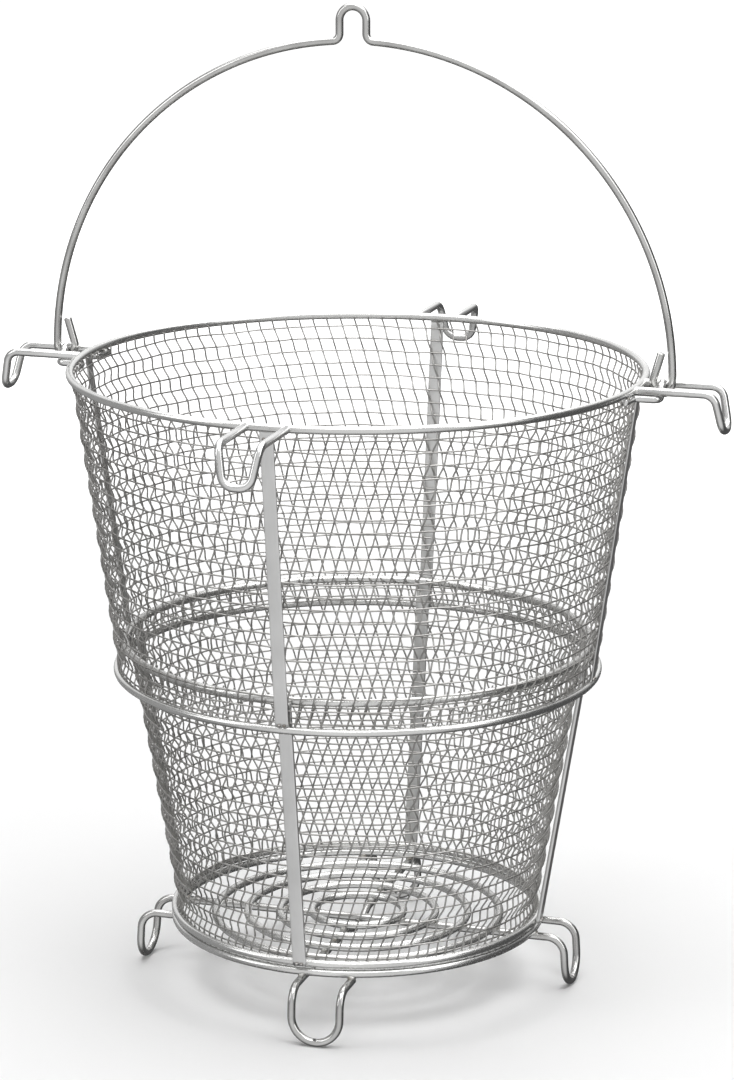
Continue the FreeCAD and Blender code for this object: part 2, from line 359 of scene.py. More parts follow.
def rounded_route(
    corners: Sequence[Vector], radii: Sequence[float], step: float = 7.0
) -> list[Vector]:
    """Join straight runs by tangent bends.

    Args:
        corners: Corner points, with the two ends.
        radii: One bend radius for each inner corner.
        step: Degrees between points on a bend.

    Returns:
        Points along the route.
    """
    route = [corners[0].copy()]
    for index, radius in enumerate(radii, 1):
        corner = corners[index]
        back = (corners[index - 1] - corner).normalized()
        ahead = (corners[index + 1] - corner).normalized()
        half = back.angle(ahead) / 2
        setback = radius / math.tan(half)
        centre = corner + (back + ahead).normalized() * (radius / math.sin(half))
        start = corner + back * setback - centre
        axis = start.cross(corner + ahead * setback - centre).normalized()
        sweep = math.pi - 2 * half
        count = max(2, math.ceil(math.degrees(sweep) / step))
        for number in range(count + 1):
            route.append(centre + Matrix.Rotation(sweep * number / count, 3, axis) @ start)
    route.append(corners[-1].copy())
    return without_repeats(route)


def without_repeats(points: Iterable[Vector], least: float = 0.00002) -> list[Vector]:
    """Drop points that lie on the one before.

    Args:
        points: Points along a route.
        least: Shortest gap that is kept.

    Returns:
        The points that are left.
    """
    kept: list[Vector] = []
    for point in points:
        if not kept or (point - kept[-1]).length > least:
            kept.append(point)
    return kept


def wire_mesh(name: str, route: Sequence[Vector], radius: float, sides: int = 20) -> bpy.types.Mesh:
    """Sweep a round wire along a route, with softly rounded cut ends and a map along the wire.

    Args:
        name: Name of the mesh.
        route: Points of the centreline.
        radius: Wire radius.
        sides: Sides of the section.

    Returns:
        A closed mesh.
    """
    tangents = []
    for index, point in enumerate(route):
        before = route[max(index - 1, 0)]
        after = route[min(index + 1, len(route) - 1)]
        tangents.append((after - before).normalized())
    rows = [
        (route[0], tangents[0], 0.72 * radius, 0.0),
        (route[0] + tangents[0] * 0.12 * radius, tangents[0], 0.92 * radius, 0.0),
        (route[0] + tangents[0] * 0.3 * radius, tangents[0], radius, 0.0),
    ]
    travelled = 0.0
    for index in range(1, len(route) - 1):
        travelled += (route[index] - route[index - 1]).length
        rows.append((route[index], tangents[index], radius, travelled))
    travelled += (route[-1] - route[-2]).length
    rows += [
        (route[-1] - tangents[-1] * 0.3 * radius, tangents[-1], radius, travelled),
        (route[-1] - tangents[-1] * 0.12 * radius, tangents[-1], 0.92 * radius, travelled),
        (route[-1], tangents[-1], 0.72 * radius, travelled),
    ]

    mesh = bmesh.new()
    uv_layer = mesh.loops.layers.uv.new(WIRE_MAP)
    normal = rows[0][1].orthogonal().normalized()
    rings = []
    previous = rows[0][1]
    for centre, tangent, reach, _ in rows:
        normal = previous.rotation_difference(tangent) @ normal
        normal = (normal - tangent * normal.dot(tangent)).normalized()
        side = tangent.cross(normal)
        ring = []
        for number in range(sides):
            angle = math.tau * number / sides
            ring.append(
                mesh.verts.new(
                    centre + (normal * math.cos(angle) + side * math.sin(angle)) * reach
                )
            )
        rings.append(ring)
        previous = tangent
    for index in range(len(rings) - 1):
        low, high = rings[index], rings[index + 1]
        for number in range(sides):
            after = (number + 1) % sides
            face = mesh.faces.new((low[number], low[after], high[after], high[number]))
            marks = (
                (rows[index][3], number / sides),
                (rows[index][3], (number + 1) / sides),
                (rows[index + 1][3], (number + 1) / sides),
                (rows[index + 1][3], number / sides),
            )
            for loop, mark in zip(face.loops, marks):
                loop[uv_layer].uv = mark
    mesh.faces.new(list(reversed(rings[0])))
    mesh.faces.new(rings[-1])
    for face in mesh.faces:
        face.smooth = True
    bmesh.ops.recalc_face_normals(mesh, faces=mesh.faces)
    data = bpy.data.meshes.new(name)
    mesh.to_mesh(data)
    mesh.free()
    return data


def wire_piece(
    name: str,
    route: Sequence[Vector],
    radius: float,
    finish: bpy.types.Material,
    sides: int = 20,
) -> bpy.types.Object:
    """Make one formed wire as an object at the origin.

    Args:
        name: Name of the piece.
        route: Points of the centreline.
        radius: Wire radius.
        finish: Its material.
        sides: Sides of the section.

    Returns:
        The new object.
    """
    piece = bpy.data.objects.new(name, wire_mesh(name, route, radius, sides))
    bpy.context.scene.collection.objects.link(piece)
    piece.data.materials.append(finish)
    return piece


def turned(route: Sequence[Vector], station: Station) -> list[Vector]:
    """Turn a route from the +X station to another.

    Args:
        route: Points of the centreline.
        station: Where it goes.

    Returns:
        The turned points.
    """
    turn = station.turn()
    return [turn @ point for point in route]


class NodeTree:
    """A Geometry Nodes tree that is run once and turned into a plain mesh."""

    def __init__(self, name: str) -> None:
        """Start an empty tree.

        Args:
            name: Name of the tree.
        """
        self.tree = bpy.data.node_groups.new(name, "GeometryNodeTree")
        self.tree.interface.new_socket(
            "Geometry", in_out="OUTPUT", socket_type="NodeSocketGeometry"
        )
        self.entry = self.tree.nodes.new("NodeGroupInput")
        self.exit = self.tree.nodes.new("NodeGroupOutput")
        self.identifiers: dict[str, str] = {}

    def size(self, name: str, kind: str = "NodeSocketFloat") -> bpy.types.NodeSocket:
        """Add a named input.

        Args:
            name: Name of the input.
            kind: Socket type.

        Returns:
            The socket to link from.
        """
        socket = self.tree.interface.new_socket(name, in_out="INPUT", socket_type=kind)
        self.identifiers[name] = socket.identifier
        return self.entry.outputs[name]

    def node(self, kind: str, **settings: object) -> bpy.types.Node:
        """Add a node and set its properties."""
        node = self.tree.nodes.new(kind)
        for key, value in settings.items():
            setattr(node, key, value)
        return node

    def link(self, source: bpy.types.NodeSocket, target: bpy.types.NodeSocket) -> None:
        """Join two sockets."""
        self.tree.links.new(source, target)

    def sum(self, operation: str, *terms: bpy.types.NodeSocket | float) -> bpy.types.NodeSocket:
        """Add a Math node.

        Args:
            operation: The node's operation.
            terms: Sockets or fixed values, in order.

        Returns:
            Its result.
        """
        node = self.node("ShaderNodeMath", operation=operation)
        for index, term in enumerate(terms):
            if isinstance(term, (int, float)):
                node.inputs[index].default_value = term
            else:
                self.link(term, node.inputs[index])
        return node.outputs[0]

    def vector(self, *terms: bpy.types.NodeSocket | float) -> bpy.types.NodeSocket:
        """Join three values into a vector."""
        node = self.node("ShaderNodeCombineXYZ")
        for index, term in enumerate(terms):
            if isinstance(term, (int, float)):
                node.inputs[index].default_value = term
            else:
                self.link(term, node.inputs[index])
        return node.outputs[0]

    def swept(
        self,
        curve: bpy.types.NodeSocket,
        radius: bpy.types.NodeSocket,
        sides: int,
    ) -> bpy.types.NodeSocket:
        """Sweep a round section along a curve.

        Args:
            curve: The centreline.
            radius: Wire radius.
            sides: Sides of the section.

        Returns:
            The wire's mesh.
        """
        section = self.node("GeometryNodeCurvePrimitiveCircle")
        section.inputs["Resolution"].default_value = sides
        self.link(radius, section.inputs["Radius"])
        sweep = self.node("GeometryNodeCurveToMesh")
        sweep.inputs["Fill Caps"].default_value = True
        self.link(curve, sweep.inputs["Curve"])
        self.link(section.outputs["Curve"], sweep.inputs["Profile Curve"])
        return sweep.outputs["Mesh"]

    def finish(self, geometry: bpy.types.NodeSocket, material: bpy.types.NodeSocket) -> None:
        """End the tree: smooth, realize and set the material.

        Args:
            geometry: What the tree has made.
            material: The material input.
        """
        realize = self.node("GeometryNodeRealizeInstances")
        smooth = self.node("GeometryNodeSetShadeSmooth")
        dress = self.node("GeometryNodeSetMaterial")
        self.link(geometry, realize.inputs["Geometry"])
        self.link(realize.outputs["Geometry"], smooth.inputs["Geometry"])
        self.link(smooth.outputs["Geometry"], dress.inputs["Geometry"])
        self.link(material, dress.inputs["Material"])
        self.link(dress.outputs["Geometry"], self.exit.inputs["Geometry"])

    def run(self, name: str, values: dict[str, object]) -> bpy.types.Object:
        """Run the tree and keep its result as a plain mesh.

        Args:
            name: Name of the piece.
            values: A value for each named input.

        Returns:
            The new object.
        """
        piece = bpy.data.objects.new(name, bpy.data.meshes.new(name + "_seed"))
        bpy.context.scene.collection.objects.link(piece)
        modifier = piece.modifiers.new("make", "NODES")
        modifier.node_group = self.tree
        for key, value in values.items():
            modifier[self.identifiers[key]] = value
        graph = bpy.context.evaluated_depsgraph_get()
        made = bpy.data.meshes.new_from_object(piece.evaluated_get(graph), depsgraph=graph)
        piece.modifiers.remove(modifier)
        piece.data = made
        made.name = name
        return piece


# ---------------------------------------------------------------------------------------------
# Rings


@dataclass
class RoundRings:
    """The level rings of both stages and of the grate.

    Attributes:
        steps: Points round a ring.
        sides: Sides of the wire.
    """

    steps: int = 220
    sides: int = 22

    def tree(self) -> NodeTree:
        """Build the tree for one level ring."""
        tree = NodeTree("level_ring")
        radius = tree.size("Radius")
        level = tree.size("Level")
        wire = tree.size("Wire Radius")
        material = tree.size("Material", "NodeSocketMaterial")
        circle = tree.node("GeometryNodeCurvePrimitiveCircle")
        circle.inputs["Resolution"].default_value = self.steps
        tree.link(radius, circle.inputs["Radius"])
        lift = tree.node("GeometryNodeTransform")
        tree.link(circle.outputs["Curve"], lift.inputs["Geometry"])
        tree.link(tree.vector(0.0, 0.0, level), lift.inputs["Translation"])
        tree.finish(tree.swept(lift.outputs["Geometry"], wire, self.sides), material)
        return tree

    def build(self, finish: bpy.types.Material) -> None:
        """Make every ring from its node's box.

        Args:
            finish: The rings' material.
        """
        tree = self.tree()
        lower = ["lower_stage_top_ring", "base_ring_upper", "base_ring_lower"]
        lower += [f"grate_ring_{number}" for number in range(1, 5)]
        owners = dict.fromkeys(lower, Body.LOWER)
        owners |= dict.fromkeys(("rim_ring", "upper_stage_bottom_ring"), Body.UPPER)
        for node, body in owners.items():
            radius, level, wire = centre_ring(node)
            values = {"Radius": radius, "Level": level, "Wire Radius": wire, "Material": finish}
            adopt(tree.run(node + "_wire", values), body, (node,))


# ---------------------------------------------------------------------------------------------
# Woven walls


@dataclass
class WovenWall:
    """One stage's wall: level hoops crossed by leaning, crimped uprights.

    Attributes:
        stem: Start of the names of the stage's cloth nodes.
        body: The body it moves with.
        top_ring: Node of the ring at the top.
        bottom_ring: Node of the ring at the bottom.
        hoops: Level hoops.
        uprights: Crossing wires.
        first_hoop: From the bottom ring's centre to the lowest hoop.
        last_hoop: From the top ring's centre down to the highest hoop.
        inset: Middle of the cloth inside the line of the ring centres.
        lean: Turn of an upright about the axis for each metre of height.
        crimp: Half the depth of the uprights' wave.
        stray: How far a hoop strays up and down between its uprights.
        sway: How often it strays, per metre.
        ends: How far the uprights run past the two ring centres, bottom and top.
        wire: Radius of the cloth's wire.
        steps_per_wave: Points along one wave of an upright.
        sides: Sides of the cloth's wire.
    """

    stem: str
    body: Body
    top_ring: str
    bottom_ring: str
    hoops: int
    uprights: int
    first_hoop: float
    last_hoop: float
    inset: float
    lean: float
    crimp: float = 0.95 * MM
    stray: float = 0.55 * MM
    sway: float = 34.0
    ends: tuple[float, float] = (-1.2 * MM, -1.2 * MM)
    wire: float = 0.45 * MM
    steps_per_wave: int = 10
    sides: int = 6

    def measure(self) -> dict[str, float]:
        """Work out the cone and the hoops' levels from the two rings.

        Returns:
            Named sizes for the trees.
        """
        top_radius, top, _ = centre_ring(self.top_ring)
        bottom_radius, bottom, _ = centre_ring(self.bottom_ring)
        slope = (top_radius - bottom_radius) / (top - bottom)
        low = bottom - self.ends[0]
        high = top + self.ends[1]
        pitch = (top - self.last_hoop - bottom - self.first_hoop) / (self.hoops - 1)
        return {
            "Low": low,
            "High": high,
            "Low Radius": bottom_radius - self.inset + slope * (low - bottom),
            "High Radius": bottom_radius - self.inset + slope * (high - bottom),
            "First Hoop": bottom + self.first_hoop,
            "Pitch": pitch,
        }

    def upright_tree(self, waves: float) -> NodeTree:
        """Build the tree of crimped uprights.

        Args:
            waves: Waves of the crimp over an upright's height.

        Returns:
            The tree.
        """
        tree = NodeTree(self.stem + "_upright_tree")
        low, high = tree.size("Low"), tree.size("High")
        low_radius, high_radius = tree.size("Low Radius"), tree.size("High Radius")
        first, pitch = tree.size("First Hoop"), tree.size("Pitch")
        crimp, lean, wire = tree.size("Crimp"), tree.size("Lean"), tree.size("Wire Radius")
        count = tree.size("Uprights", "NodeSocketInt")
        material = tree.size("Material", "NodeSocketMaterial")

        line = tree.node("GeometryNodeCurvePrimitiveLine")
        tree.link(tree.vector(0.0, 0.0, low), line.inputs["Start"])
        tree.link(tree.vector(0.0, 0.0, high), line.inputs["End"])
        points = tree.node("GeometryNodeResampleCurve")
        points.inputs["Count"].default_value = round(waves * self.steps_per_wave) + 1
        tree.link(line.outputs["Curve"], points.inputs["Curve"])
        place = tree.node("GeometryNodeInputPosition")
        parts = tree.node("ShaderNodeSeparateXYZ")
        tree.link(place.outputs["Position"], parts.inputs["Vector"])
        level = parts.outputs["Z"]
        rise = tree.sum("SUBTRACT", level, low)
        share = tree.sum("DIVIDE", rise, tree.sum("SUBTRACT", high, low))
        cone = tree.sum(
            "MULTIPLY_ADD", tree.sum("SUBTRACT", high_radius, low_radius), share, low_radius
        )
        phase = tree.sum("DIVIDE", tree.sum("SUBTRACT", level, first), pitch)
        wave = tree.sum("COSINE", tree.sum("MULTIPLY", phase, math.pi))
        reach = tree.sum("MULTIPLY_ADD", crimp, wave, cone)
        angle = tree.sum("MULTIPLY", lean, tree.sum("SUBTRACT", level, high))
        across = tree.sum("MULTIPLY", reach, tree.sum("COSINE", angle))
        deep = tree.sum("MULTIPLY", reach, tree.sum("SINE", angle))
        bend = tree.node("GeometryNodeSetPosition")
        tree.link(points.outputs["Curve"], bend.inputs["Geometry"])
        tree.link(tree.vector(across, deep, level), bend.inputs["Position"])
        upright = tree.swept(bend.outputs["Geometry"], wire, self.sides)

        spots = tree.node("GeometryNodePoints")
        tree.link(count, spots.inputs["Count"])
        index = tree.node("GeometryNodeInputIndex")
        step = tree.sum("DIVIDE", math.tau, count)
        turn = tree.vector(0.0, 0.0, tree.sum("MULTIPLY", index.outputs["Index"], step))
        repeat = tree.node("GeometryNodeInstanceOnPoints")
        tree.link(
            spots.outputs["Points"] if "Points" in spots.outputs else spots.outputs[0],
            repeat.inputs["Points"],
        )
        tree.link(upright, repeat.inputs["Instance"])
        tree.link(turn, repeat.inputs["Rotation"])
        tree.finish(repeat.outputs["Instances"], material)
        return tree

    def hoop_tree(self) -> NodeTree:
        """Build the tree of level hoops."""
        tree = NodeTree(self.stem + "_hoop_tree")
        low, high = tree.size("Low"), tree.size("High")
        low_radius, high_radius = tree.size("Low Radius"), tree.size("High Radius")
        first, pitch, wire = tree.size("First Hoop"), tree.size("Pitch"), tree.size("Wire Radius")
        count = tree.size("Hoops", "NodeSocketInt")
        material = tree.size("Material", "NodeSocketMaterial")

        index = tree.node("GeometryNodeInputIndex")
        level = tree.sum("MULTIPLY_ADD", index.outputs["Index"], pitch, first)
        share = tree.sum(
            "DIVIDE", tree.sum("SUBTRACT", level, low), tree.sum("SUBTRACT", high, low)
        )
        cone = tree.sum(
            "MULTIPLY_ADD", tree.sum("SUBTRACT", high_radius, low_radius), share, low_radius
        )
        spots = tree.node("GeometryNodePoints")
        tree.link(count, spots.inputs["Count"])
        tree.link(tree.vector(0.0, 0.0, level), spots.inputs["Position"])
        circle = tree.node("GeometryNodeCurvePrimitiveCircle")
        circle.inputs["Resolution"].default_value = 2 * self.uprights
        circle.inputs["Radius"].default_value = 1.0
        repeat = tree.node("GeometryNodeInstanceOnPoints")
        tree.link(spots.outputs[0], repeat.inputs["Points"])
        tree.link(circle.outputs["Curve"], repeat.inputs["Instance"])
        tree.link(tree.vector(cone, cone, 1.0), repeat.inputs["Scale"])
        real = tree.node("GeometryNodeRealizeInstances")
        tree.link(repeat.outputs["Instances"], real.inputs["Geometry"])
        wander = tree.node("ShaderNodeTexNoise")
        wander.inputs["Scale"].default_value = self.sway
        wander.inputs["Detail"].default_value = 1.0
        drift = tree.sum(
            "MULTIPLY", tree.sum("SUBTRACT", wander.outputs["Fac"], 0.5), 4.0 * self.stray
        )
        hang = tree.node("GeometryNodeSetPosition")
        tree.link(real.outputs["Geometry"], hang.inputs["Geometry"])
        tree.link(tree.vector(0.0, 0.0, drift), hang.inputs["Offset"])
        tree.finish(tree.swept(hang.outputs["Geometry"], wire, self.sides), material)
        return tree

    def build(self, finish: bpy.types.Material) -> None:
        """Make the uprights and the hoops.

        Args:
            finish: The cloth's material.
        """
        sizes = self.measure()
        waves = (sizes["High"] - sizes["Low"]) / sizes["Pitch"] / 2
        common = {**sizes, "Wire Radius": self.wire, "Material": finish}
        extra = {"Crimp": self.crimp, "Lean": self.lean, "Uprights": self.uprights}
        uprights = self.upright_tree(waves).run(self.stem + "_crimped_uprights", common | extra)
        adopt(uprights, self.body, (self.stem + "_uprights",))
        hoops = self.hoop_tree().run(self.stem + "_level_hoops", common | {"Hoops": self.hoops})
        hidden = (self.stem + "_outer_hoops", self.stem + "_inner_hoops")
        adopt(hoops, self.body, hidden)


# ---------------------------------------------------------------------------------------------
# Straps


@dataclass
class Straps:
    """Four flat straps on each stage, from ring to ring.

    Attributes:
        edge: Rounding of the strap's long edges.
        bow: How far the outer face stands proud along its middle.
        rows: Rows of points along a strap.
        columns: Columns of points across its faces.
    """

    edge: float = 0.3 * MM
    bow: float = 0.06 * MM
    rows: int = 60
    columns: int = 10

    def section(self, width: float, thickness: float) -> list[tuple[float, float]]:
        """Lay out the strap's section, across and through.

        Args:
            width: Width across the strap.
            thickness: Thickness through it.

        Returns:
            Points (across, out), counter-clockwise from the outer face's left edge.
        """
        half_width = width / 2 - self.edge
        half_depth = thickness / 2 - self.edge
        points = []
        for number in range(self.columns + 1):
            points.append((half_width - 2 * half_width * number / self.columns, thickness / 2))
        points += self.corner(-half_width, half_depth, 90.0)
        points += self.corner(-half_width, -half_depth, 180.0)
        for number in range(self.columns + 1):
            points.append((-half_width + 2 * half_width * number / self.columns, -thickness / 2))
        points += self.corner(half_width, -half_depth, 270.0)
        points += self.corner(half_width, half_depth, 0.0)
        return points

    def corner(self, across: float, out: float, start: float) -> list[tuple[float, float]]:
        """Round one corner of the section, without its two end points."""
        points = []
        for share in (0.25, 0.5, 0.75):
            angle = math.radians(start + 90.0 * share)
            points.append((across + self.edge * math.cos(angle), out + self.edge * math.sin(angle)))
        return points

    def strap(
        self,
        name: str,
        low: Vector,
        high: Vector,
        width: float,
        thickness: float,
    ) -> bpy.types.Mesh:
        """Make one strap in the +X station.

        Args:
            name: Name of the mesh.
            low: Middle of the strap's bottom end.
            high: Middle of its top end.
            width: Width across the strap.
            thickness: Thickness through it.

        Returns:
            A closed mesh.
        """
        along = (high - low).normalized()
        out = Vector((along.z, 0.0, -along.x))
        length = (high - low).length
        section = self.section(width, thickness)
        mesh = bmesh.new()
        rings = []
        for row in range(self.rows + 1):
            travel = length * row / self.rows
            ring = []
            for across, depth in section:
                proud = self.bow * (1.0 - (2 * across / width) ** 2) if depth > 0 else 0.0
                point = (
                    low
                    + along * travel
                    + out * (depth - self.bow + proud)
                    + Vector((0.0, across, 0.0))
                )
                ring.append(mesh.verts.new(point))
            rings.append(ring)
        count = len(section)
        for row in range(self.rows):
            for number in range(count):
                after = (number + 1) % count
                mesh.faces.new(
                    (
                        rings[row][number],
                        rings[row][after],
                        rings[row + 1][after],
                        rings[row + 1][number],
                    )
                )
        mesh.faces.new(list(reversed(rings[0])))
        mesh.faces.new(rings[-1])
        bmesh.ops.recalc_face_normals(mesh, faces=mesh.faces)
        for face in mesh.faces:
            face.smooth = len(face.verts) == 4
        data = bpy.data.meshes.new(name)
        mesh.to_mesh(data)
        mesh.free()
        return data

    def build(self, finish: bpy.types.Material, frame: dict) -> None:
        """Make the eight straps.

        Args:
            finish: The straps' material.
            frame: The loaded frame.
        """
        for stem, body in (("upper_strap", Body.UPPER), ("lower_strap", Body.LOWER)):
            box_low, box_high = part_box(stem + "_right")
            width = box_high[1] - box_low[1]
            low, high, thickness = strap_line(frame["nodes"][stem + "_right"])
            for station in Station:
                node = station.named(stem)
                mesh = self.strap(node + "_flat", low, high, width, thickness)
                mesh.transform(station.turn())
                mesh.materials.append(finish)
                piece = bpy.data.objects.new(node + "_flat", mesh)
                bpy.context.scene.collection.objects.link(piece)
                adopt(piece, body, (node,))


def strap_line(node: bpy.types.Object) -> tuple[Vector, Vector, float]:
    """Find a strap's middle line and thickness from its frame mesh in the +X station.

    Args:
        node: The strap's frame object.

    Returns:
        Bottom middle, top middle and thickness.
    """
    points = [Vector((v.co.x, 0.0, v.co.z)) for v in node.data.vertices]
    bottom = min(points, key=lambda point: point.z)
    top = max(points, key=lambda point: point.z)
    along = (top - bottom).normalized()
    out = Vector((along.z, 0.0, -along.x))
    offsets = sorted(out.dot(point - bottom) for point in points)
    middle = (offsets[0] + offsets[-1]) / 2
    thickness = offsets[-1] - offsets[0]
    return bottom + out * middle, top + out * middle, thickness


# ---------------------------------------------------------------------------------------------
# Formed wires


@dataclass
class RimHooks:
    """Four hooks, each one wire: two arms out from the rim, bent down and closed in a U.

    Attributes:
        lean: How far the legs lean outward.
        tip_width: Between the legs at the tip.
        bend: Bend radius from arm to leg.
        tip_bend: Bend radius at the tip.
    """

    lean: float = 12.2
    tip_width: float = 14.0 * MM
    bend: float = 6.9 * MM
    tip_bend: float = 7.0 * MM

    def route(self) -> tuple[list[Vector], float]:
        """Work out the centreline in the +X station.

        Returns:
            The centreline and the wire radius.
        """
        rim, level, wire = centre_ring("rim_ring")
        low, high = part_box("rim_hook_right")
        side = high[1] - wire
        tip_reach = high[0] - wire
        floor = low[2] + wire
        corner = tip_reach - (level - floor) * math.tan(math.radians(self.lean))
        tip = self.tip_width / 2
        start = math.sqrt((rim + 0.4 * wire) ** 2 - side ** 2)
        corners = [
            Vector((start, -side, level)),
            Vector((corner, -side, level)),
            Vector((tip_reach, -tip, floor)),
            Vector((tip_reach, tip, floor)),
            Vector((corner, side, level)),
            Vector((start, side, level)),
        ]
        return rounded_route(corners, [self.bend, self.tip_bend, self.tip_bend, self.bend]), wire

    def build(self, finish: bpy.types.Material) -> None:
        """Make the four hooks.

        Args:
            finish: The wire's material.
        """
        route, wire = self.route()
        for station in Station:
            node = station.named("rim_hook")
            piece = wire_piece(node + "_wire", turned(route, station), wire, finish)
            adopt(piece, Body.UPPER, (node,))


@dataclass
class BailLugs:
    """Two lugs under the rim, each one wire with an eye for the bail.

    Attributes:
        leg: Half the gap between the two legs.
        bend: Bend radius between tail, leg and cross bar.
        foot_bend: Bend radius at the foot of the eye.
        bail_wire: Radius of the bail's wire.
        clearance: Room for the bail in the eye.
    """

    leg: float = 10.7 * MM
    bend: float = 3.0 * MM
    foot_bend: float = 2.2 * MM
    bail_wire: float = 2.1 * MM
    clearance: float = 0.1 * MM

    def build(self, finish: bpy.types.Material) -> None:
        """Make both lugs.

        Args:
            finish: The wire's material.
        """
        rim, _, wire = centre_ring("rim_ring")
        low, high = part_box("bail_lug_right")
        base = low[2] + wire
        top = high[2] - wire
        reach = high[0] - wire
        eye = self.bail_wire + wire + self.clearance
        tail = 24.0 * MM
        half = [
            Vector((math.sqrt(rim ** 2 - tail ** 2), tail, base)),
            Vector((math.sqrt(rim ** 2 - self.leg ** 2), self.leg, base)),
            Vector((reach, self.leg, base)),
            Vector((reach, eye, base)),
            Vector((reach, eye, top)),
        ]
        other = [Vector((point.x, -point.y, point.z)) for point in reversed(half)]
        radii = [self.bend, self.bend, self.foot_bend, eye - 0.01 * MM]
        route = rounded_route(half + other, radii + radii[::-1])
        for station in (Station.RIGHT, Station.LEFT):
            node = station.named("bail_lug")
            piece = wire_piece(node + "_wire", turned(route, station), wire, finish)
            adopt(piece, Body.UPPER, (node,))


@dataclass
class FootBars:
    """Two wires across the base, each with a foot formed at both ends.

    Attributes:
        lean: How far the feet lean outward.
        bend: Bend radius at the top of a foot.
        past_ring: How far a return arm runs inside the base ring.
        dip_outer: Half the length of the dip where one bar passes under the other.
        dip_inner: Half the length of the dip's floor.
        dip_bend: Bend radius in the dip.
    """

    lean: float = 3.5
    bend: float = 9.5 * MM
    past_ring: float = 2.0 * MM
    dip_outer: float = 18.0 * MM
    dip_inner: float = 7.0 * MM
    dip_bend: float = 14.0 * MM

    def build(self, finish: bpy.types.Material) -> None:
        """Make both foot bars.

        Args:
            finish: The wire's material.
        """
        ring, ring_level, wire = centre_ring("base_ring_lower")
        low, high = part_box("foot_bar_left_right")
        toe = high[0] - wire
        width = high[1] - wire
        floor = low[2] + wire
        level = high[2] - wire
        corner = toe - (level - floor) * math.tan(math.radians(self.lean))
        arm_end = math.sqrt(ring ** 2 - width ** 2) - self.past_ring
        near = [
            Vector((arm_end, width, level)),
            Vector((corner, width, level)),
            Vector((toe, width, floor)),
            Vector((toe, 0.0, floor)),
            Vector((corner, 0.0, level)),
        ]
        far = [Vector((-point.x, -point.y, point.z)) for point in reversed(near)]
        foot = [self.bend, width / 2 - 0.05 * MM, width / 2 - 0.05 * MM, self.bend]
        under = level - (2 * wire - 0.1 * MM)
        dip = [
            Vector((self.dip_outer, 0.0, level)),
            Vector((self.dip_inner, 0.0, under)),
            Vector((-self.dip_inner, 0.0, under)),
            Vector((-self.dip_outer, 0.0, level)),
        ]
        straight = rounded_route(near + far, foot + foot)
        dipped = rounded_route(near + dip + far, foot + [self.dip_bend] * 4 + foot)
        for node, route in (
            ("foot_bar_left_right", straight),
            ("foot_bar_front_back", turned(dipped, Station.BACK)),
        ):
            adopt(wire_piece(node + "_wire", route, wire, finish), Body.LOWER, (node,))


@dataclass
class Bail:
    """The lifting bail: an arch with a loop on top and a hook at each end.

    Attributes:
        hook_radius: Bend radius of the end hooks.
        stub_lean: Lean of the hooks' short ends.
        stub_length: Length of their straight part.
        loop_half_width: Half the width of the top loop.
        loop_offset: The loop's middle from the axis.
        loop_bend: Bend radius at the loop's foot.
        step: Degrees between points on a small bend.
    """

    hook_radius: float = 5.0 * MM
    stub_lean: float = 15.8
    stub_length: float = 14.1 * MM
    loop_half_width: float = 7.2 * MM
    loop_offset: float = -2.6 * MM
    loop_bend: float = 4.0 * MM
    step: float = 7.0

    def arc(
        self, centre: tuple[float, float], radius: float, start: float, end: float, step: float
    ) -> list[Vector]:
        """Lay points along an arc in the bail's plane.

        Args:
            centre: Centre (x, z).
            radius: Radius.
            start: First angle.
            end: Last angle.
            step: Largest angle between points.

        Returns:
            The points.
        """
        count = max(2, math.ceil(abs(end - start) / step))
        points = []
        for number in range(count + 1):
            angle = math.radians(start + (end - start) * number / count)
            points.append(
                Vector(
                    (
                        centre[0] + radius * math.cos(angle),
                        0.0,
                        centre[1] + radius * math.sin(angle),
                    )
                )
            )
        return points

    def side(self, span: float, arch_level: float, loop_x: float) -> list[Vector]:
        """Lay the +X side, from the stub's tip to the foot of the loop.

        Args:
            span: Half span of the arch.
            arch_level: Level of the arch's centre.
            loop_x: Where the loop's side stands.

        Returns:
            The points.
        """
        hook_x = span - self.hook_radius
        hook_end = -180.0 - self.stub_lean
        hook = self.arc((hook_x, arch_level), self.hook_radius, hook_end, 0.0, self.step)
        lean = math.radians(self.stub_lean)
        tip = hook[0] + Vector((math.sin(lean), 0.0, math.cos(lean))) * self.stub_length
        bend_x = loop_x + self.loop_bend
        rise = math.sqrt((span + self.loop_bend) ** 2 - bend_x ** 2)
        leave = math.degrees(math.atan2(rise, bend_x))
        arch = self.arc((0.0, arch_level), span, 0.0, leave, 1.5)
        foot = self.arc(
            (bend_x, arch_level + rise), self.loop_bend, leave + 180.0, 180.0, self.step
        )
        return [tip] + hook + arch + foot

    def build(self, finish: bpy.types.Material) -> None:
        """Make the bail.

        Args:
            finish: The wire's material.
        """
        low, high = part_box("bail")
        wire = (high[1] - low[1]) / 2
        span = (high[0] - low[0]) / 2 - wire
        arch_level = low[2] + wire + self.hook_radius
        right = self.side(span, arch_level, self.loop_offset + self.loop_half_width)
        left = self.side(span, arch_level, self.loop_half_width - self.loop_offset)
        left = [Vector((-point.x, 0.0, point.z)) for point in reversed(left)]
        crown_level = high[2] - wire - self.loop_half_width
        crown = self.arc(
            (self.loop_offset, crown_level), self.loop_half_width, 0.0, 180.0, self.step
        )
        route = without_repeats(right + crown + left)
        adopt(wire_piece("bail_wire", route, wire, finish), Body.BAIL, ("bail",))


# ---------------------------------------------------------------------------------------------
# Welds


